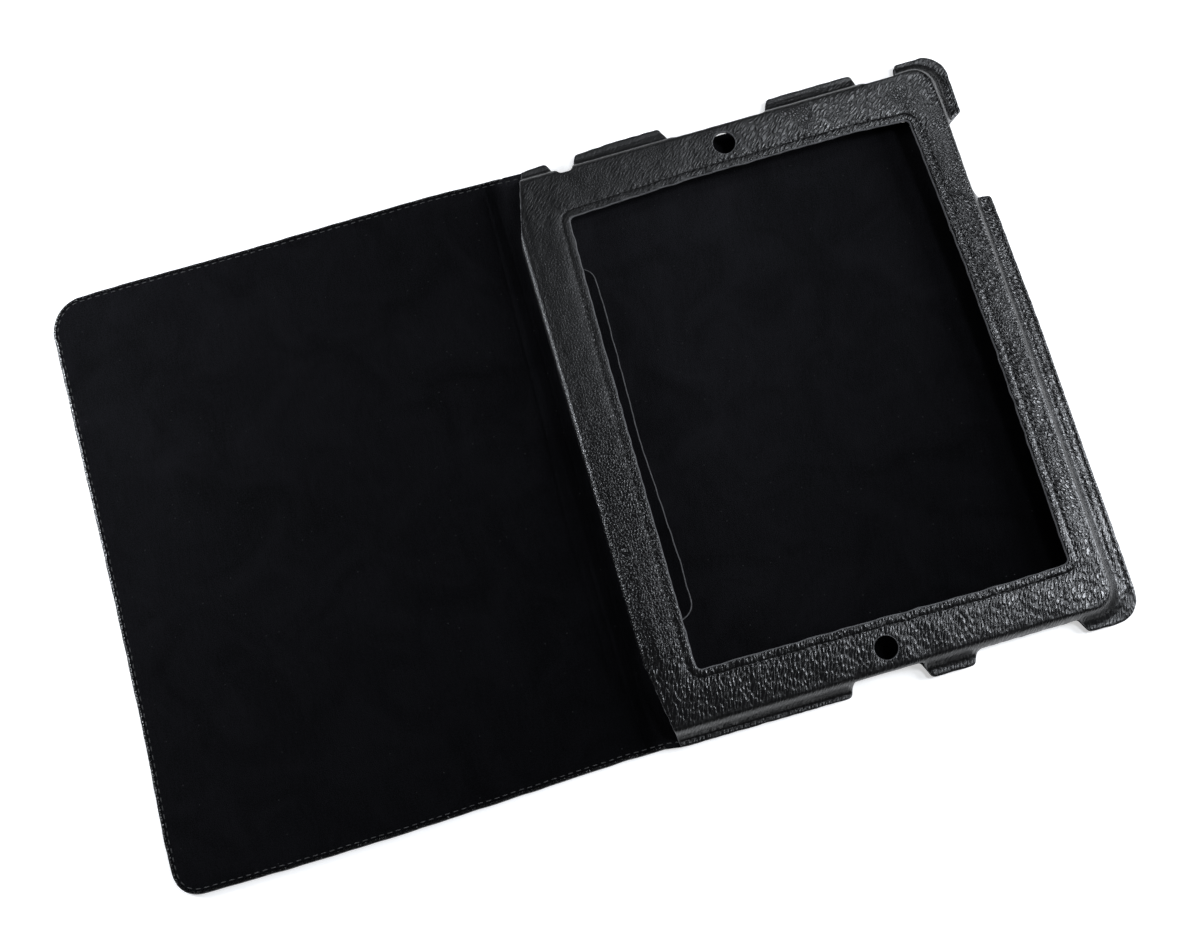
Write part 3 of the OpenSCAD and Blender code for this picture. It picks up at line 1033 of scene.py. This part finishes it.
def make_frame():
    rows = seam_rows(WINDOW_SEAM_LINE, (-0.9, -0.45, 0.0, 0.45, 0.9), WINDOW_PITCH)
    rows += seam_rows(FLANGE_SEAM_LINE, (-0.7, -0.3, 0.0, 0.3, 0.7), FLANGE_PITCH)
    skin = plate(
        "frame_cover", [FRAME_LOOP, WINDOW_LOOP, HOLE_TOP, HOLE_BOTTOM], frame_upper, frame_lower, 1.15,
        rows, (0.38, 0.9), 0.1, fold_rail, 31, (FORMED, RAW, RAW_DARK),
        [(WINDOW_LOOP, 0.3), (HOLE_TOP, 0.25), (HOLE_BOTTOM, 0.25), (FRAME_LOOP, 0.16)])
    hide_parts("frame_leather")
    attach(skin, "holder")


# The layers under the rail's leather.
RAIL_LAYER = [
    (-89.6, 121.2, 0.5), (-73.6, 121.2, 0.3), (-73.2, 118.9, 1), (-67, 118.9, 1), (-66.6, 121.2, 0.3),
    (93.7, 121.2, 8), (93.7, -121.2, 8), (-91.9, -121.2, 0.5), (-93.2, -112, 0.5), (-93.2, 105.5, 0.5),
]
LINING_Z = (11.25, 11.55)
STRIP_Z = (11.58, 11.86)
TOP_STRIP = [(-88.6, 120.3, 2), (-74.2, 120.3, 1), (-73.8, 118.0, 1), (-66.4, 118.0, 1), (-66.0, 120.3, 1),
             (92.8, 120.3, 7), (92.8, 103.1, 1), (-91.8, 103.1, 1)]
BOTTOM_STRIP = [(-92.2, -101.7, 1), (92.8, -101.7, 1), (92.8, -120.3, 7), (-90.9, -120.3, 2)]
LEFT_STRIP = [(-92.4, 102.6, 1), (-78.6, 102.6, 1), (-78.6, -101.3, 1), (-92.4, -101.3, 1)]
RIGHT_STRIP = [(81.5, 102.6, 1), (92.8, 102.6, 1), (92.8, -101.3, 1), (81.5, -101.3, 1)]


def flat_layer(name, loops, low, high, pitch, mats, seed, node, slot, body):
    piece = plate(name, loops, level(high), level(low), pitch, (), (0.4,), 0.05, None, seed, mats)
    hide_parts(node)
    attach(piece, body)
    return piece


def make_rail_layers():
    lining_loop = rounded(RAIL_LAYER, 1.0)
    window = resample(WINDOW_LOOP + normals(WINDOW_LOOP) * 0.12, 0.8)
    holes = [circle(HOLE_X, y, HOLE_R + 0.1) for y in (HOLE_Y, -HOLE_Y)]
    lining = flat_layer(
        "rail_suede", [lining_loop, window] + holes, *LINING_Z, 4.0, (SUEDE, RAW_DARK, SUEDE), 41,
        "frame_lining", "suede", "holder")
    for side, points, hole_y in (("top", TOP_STRIP, HOLE_Y), ("bottom", BOTTOM_STRIP, -HOLE_Y),
                                 ("left", LEFT_STRIP, None), ("right", RIGHT_STRIP, None)):
        loops = [rounded(points, 2.0)]
        if hole_y is not None:
            loops.append(circle(HOLE_X, hole_y, HOLE_R + 0.9))
        flat_layer("strip_" + side, loops, *STRIP_Z, 6.0, (STRIP,) * 3, 42, "stiffener_" + side,
                   "strip_plastic", "holder")


# ---- Tuck flap

FLAP_LEATHER_T = 0.75
FLAP_SUEDE_T = 0.55
FLAP_LOOP = wavy(rounded(
    [(0.0, FOLD_BOTTOM_Y + 1), (FLAP_FLAT + 1, FOLD_BOTTOM_Y + 2, 2.0)]
    + [(flap_v(x), y, r) for x, y, r in FLAP_EDGE]
    + [(FLAP_FLAT + 1, FOLD_TOP_Y - 2, 2.0), (0.0, FOLD_TOP_Y - 1)], 0.7), 0.12, 7, 8)


def flap_sag(p):
    """The flap bows up a little between the fold and its free edge."""
    inward = smooth(p[:, 0], FLAP_FLAT, FLAP_FLAT + 6)
    return inward * (0.10 + 0.10 * ripple(p, 30, 16) + 0.25 * bell(p[:, 0], flap_v(-84), 8))


def make_flap():
    skin = plate(
        "flap_skin", [FLAP_LOOP], lambda p: FLAP_LEATHER_T + flap_sag(p), flap_sag, 2.2, (), (0.4, 1.0),
        0.1, fold_flap, 51, (RAW_DARK, RAW, FORMED), [(FLAP_LOOP, 0.35)])
    suede_loop = clip_x(inset(FLAP_LOOP, 0.4), FLAP_FLAT + 0.6, 1)
    lining = plate(
        "flap_suede", [suede_loop], lambda p: FLAP_LEATHER_T + FLAP_SUEDE_T + flap_sag(p),
        lambda p: FLAP_LEATHER_T + 0.01 + flap_sag(p), 2.2, (), (0.3,), 0.05, fold_flap, 52,
        (SUEDE, RAW_DARK, SUEDE))
    for piece, node, slot in ((skin, "flap_leather", "frame_leather"),
                              (lining, "flap_lining", "suede")):
        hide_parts(node)
        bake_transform(piece)


# ---- Panels: outer leather, boards and suede

def over_fold(piece):
    """Bakes a layer's placement into its mesh."""
    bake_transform(piece)


def bend_rows(fold):
    """Close rows of points along a fold line."""
    y = np.arange(SPINE_BOTTOM_Y, SPINE_TOP_Y, 2.4)
    return [np.stack([np.full(len(y), fold[0] + dx), y + 1.2 * (k % 2)], axis=1)
            for k, dx in enumerate(np.arange(-BLEND_REACH, BLEND_REACH + 0.1, 0.7))]


def crease_rows():
    """Points along each crease and beside it."""
    rows = []
    for line, _, width in CREASES:
        line = resample(np.array(line, float), 1.2, closed=False)
        rows += [line + np.array([share * width, 0]) for share in (-1.6, -0.8, 0.0, 0.8, 1.6)]
    return rows


def suede_outline():
    """The suede's edge: inside the turned rim of cover and spine, and flush round the holder."""
    step = RIM * rim_share(CASE_LOOP) + 0.05
    moved = CASE_LOOP - normals(CASE_LOOP) * step[:, None]
    return moved[away(moved, CASE_LOOP) > INSET_KEEPS * step]


def make_skins():
    cover_rows = seam_rows(COVER_SEAM_LINE, (-0.8, -0.4, 0.0, 0.4, 0.8), COVER_PITCH)
    cover_rows += bend_rows(COVER_FOLD)
    steps = (0.2, 0.5, RIM - 0.2, RIM)
    cover_skin = plate(
        "cover_skin", [clip_x(CASE_LOOP, SPINE_MID, -1)], skin_upper, skin_lower, 3.2, cover_rows,
        steps, 0.12, None, 61, (OUTER,) * 3)
    back_rows = seam_rows(COVER_SEAM_LINE, (-0.6, 0.0, 0.6), COVER_PITCH)
    back_rows += bend_rows(HOLDER_FOLD)
    back_skin = plate(
        "back_skin", [clip_x(CASE_LOOP, SPINE_MID, 1), LENS_LOOP], skin_upper, skin_lower, 3.0,
        back_rows, (0.2, 0.5, 1.2), 0.1, None, 62, (OUTER, RAW_DARK, OUTER))
    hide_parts("cover_leather")
    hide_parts("back_leather", "spine_leather")
    over_fold(cover_skin)
    over_fold(back_skin)


def make_suedes():
    outline = suede_outline()
    rows = seam_rows(COVER_SEAM_LINE, (-0.8, 0.0, 0.8), COVER_PITCH) + crease_rows()
    rows += [resample(IMPRINT, 3.0) + np.array([d, d]) for d in (-0.7, 0.7)]
    under = level(BOARD_TOP + 0.01)
    cover_suede = plate(
        "cover_suede", [clip_x(outline, SPINE_MID, -1)], suede_upper, under, 2.6,
        rows + bend_rows(COVER_FOLD), (0.5,), 0.05, None, 71, (COVER_SUEDE, SUEDE, SUEDE))
    pocket_suede = plate(
        "pocket_suede", [clip_x(outline, SPINE_MID, 1), LENS_LOOP], suede_upper, under, 3.0,
        crease_rows() + bend_rows(HOLDER_FOLD), (0.5,), 0.05, None, 72, (SUEDE,) * 3)
    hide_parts("cover_lining")
    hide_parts("pocket_lining", "spine_lining")
    over_fold(cover_suede)
    over_fold(pocket_suede)


def make_boards():
    cover_loop = clip_x(inset(CASE_LOOP, RIM + 0.2), COVER_FOLD[0] - BLEND_REACH - 0.2, -1)
    back_loop = clip_x(inset(CASE_LOOP, 0.4), HOLDER_FOLD[0] + BLEND_REACH + 0.2, 1)
    lens = circle(*LENS_HOLE, LENS_HOLE_R + 0.2)
    left, right = COVER_FOLD[0] + 3.2, HOLDER_FOLD[0] - 3.2
    low, high = SPINE_BOTTOM_Y + 2, SPINE_TOP_Y - 2
    spine_loop = rounded([(left, low, 1), (right, low, 1), (right, high, 1), (left, high, 1)], 2.0)
    card = (BOARD,) * 3
    flat_layer("cover_card", [cover_loop], LEATHER_T, BOARD_TOP, 6.0, card, 81,
               "cover_board", "greyboard", "cover")
    flat_layer("back_card", [back_loop, lens], LEATHER_T, BOARD_TOP, 6.0, card, 82,
               "back_board", "greyboard", "holder")
    flat_layer("spine_felt", [spine_loop], LEATHER_T, BOARD_TOP, 5.0, (INTERLINING,) * 3, 83,
               "spine_interlining", "interlining", "spine")


THREAD_WIDTH = 0.42
WINDOW_STITCH, OTHER_STITCH = 2.0, 2.5  # lengths


def seam_piece(name, sets, node, body):
    """All the stitches of a seam as one piece: sets of (spots, along, surface, side)."""
    length = WINDOW_STITCH if name == "window_seam" else OTHER_STITCH
    parts = [stitch_mesh(name + str(k), spots, along, surface, length, THREAD_WIDTH, THREAD, up)
             for k, (spots, along, surface, up) in enumerate(sets)]
    piece = joined(name, parts) if len(parts) > 1 else parts[0]
    piece.name = name
    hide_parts(node)
    if body:
        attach(piece, body)
    return piece


def make_stitches():
    spots, along, _ = WINDOW_SPOTS
    seam_piece("window_seam", [(spots, along, frame_upper, 1)], "window_stitching", "holder")
    spots, along, _ = FLANGE_SPOTS
    seam_piece("flange_seam", [(spots, along, frame_upper, 1), (spots, along, skin_lower, -1)],
               "flange_stitching", "holder")
    spots, along, _ = COVER_SPOTS
    left = spots[:, 0] < SPINE_MID
    for name, part, node, before, after, fold in (
            ("cover_seam", left, "cover_stitching", "cover", "spine", COVER_FOLD),
            ("spine_seam", ~left, "spine_stitching", "spine", "holder", HOLDER_FOLD)):
        sets = [(spots[part], along[part], suede_upper, 1), (spots[part], along[part], skin_lower, -1)]
        over_fold(seam_piece(name, sets, node, None))


make_frame()
make_rail_layers()
make_flap()
make_skins()
make_suedes()
make_boards()
make_stitches()


# ---- Camera, lights and floor

LENS_MM, SENSOR_MM = 42.0, 36.0
CAMERA_AT = (-103.477, -108.773, 585.307)
CAMERA_TILT = math.radians(9.7504)
CAMERA_TURN = math.radians(6.5419)
CAMERA_ROLL = math.radians(-16.2739)
LIGHT_TINT = (0.90, 0.94, 1.0)
WORLD_STRENGTH = 0.05
FLOOR_HALF, FLOOR_Z = 6.0, -0.0004  # metres


def make_camera():
    ahead = Vector((math.sin(CAMERA_TILT) * math.sin(CAMERA_TURN),
                    math.sin(CAMERA_TILT) * math.cos(CAMERA_TURN), -math.cos(CAMERA_TILT)))
    right = ahead.cross(Vector((0, 1, 0))).normalized()
    up = right.cross(ahead)
    cam_x = math.cos(CAMERA_ROLL) * right + math.sin(CAMERA_ROLL) * up
    cam_y = math.cos(CAMERA_ROLL) * up - math.sin(CAMERA_ROLL) * right
    data = bpy.data.cameras.new("camera")
    data.lens = LENS_MM
    data.sensor_width = SENSOR_MM
    data.clip_start = 0.02
    data.clip_end = 20
    camera = add_object("camera", data)
    camera.matrix_world = Matrix.Translation(Vector(CAMERA_AT) * MM) @ Matrix(
        (cam_x, cam_y, -ahead)).transposed().to_4x4()
    bpy.context.scene.camera = camera


def soft_light(name, place, target, size, watts):
    """A square softbox at place (metres), turned to target."""
    data = bpy.data.lights.new(name, "AREA")
    data.shape = "SQUARE"
    data.size = size
    data.energy = watts
    data.color = LIGHT_TINT
    light = add_object(name, data)
    light.location = place
    light.rotation_euler = (Vector(target) - Vector(place)).to_track_quat("-Z", "Y").to_euler()


def make_studio():
    world = bpy.data.worlds.new("studio")
    world.use_nodes = True
    inputs = world.node_tree.nodes["Background"].inputs
    inputs[0].default_value = WHITE
    inputs[1].default_value = WORLD_STRENGTH
    bpy.context.scene.world = world
    soft_light("key", (0.56, -0.03, 1.12), (0, 0, 0), 0.22, 5.3)
    soft_light("top", (0.41, 0.54, 1.12), (0, 0, 0), 0.3, 2.0)
    soft_light("side", (0.75, -0.06, 0.42), (0, 0, 0), 0.35, 7.0)
    soft_light("window", (-0.56, 0.16, 0.20), (-0.1, 0, 0), 0.15, 2.4)
    bpy.context.scene.view_settings.view_transform = "Standard"


def make_floor():
    mesh = bpy.data.meshes.new("floor")
    corners = [(x * FLOOR_HALF, y * FLOOR_HALF, FLOOR_Z) for x, y in ((-1, -1), (1, -1), (1, 1), (-1, 1))]
    mesh.from_pydata(corners, [], [(0, 1, 2, 3)])
    mesh.materials.append(floor_paper("floor_paper"))
    add_object("floor", mesh)


make_camera()
make_studio()
make_floor()
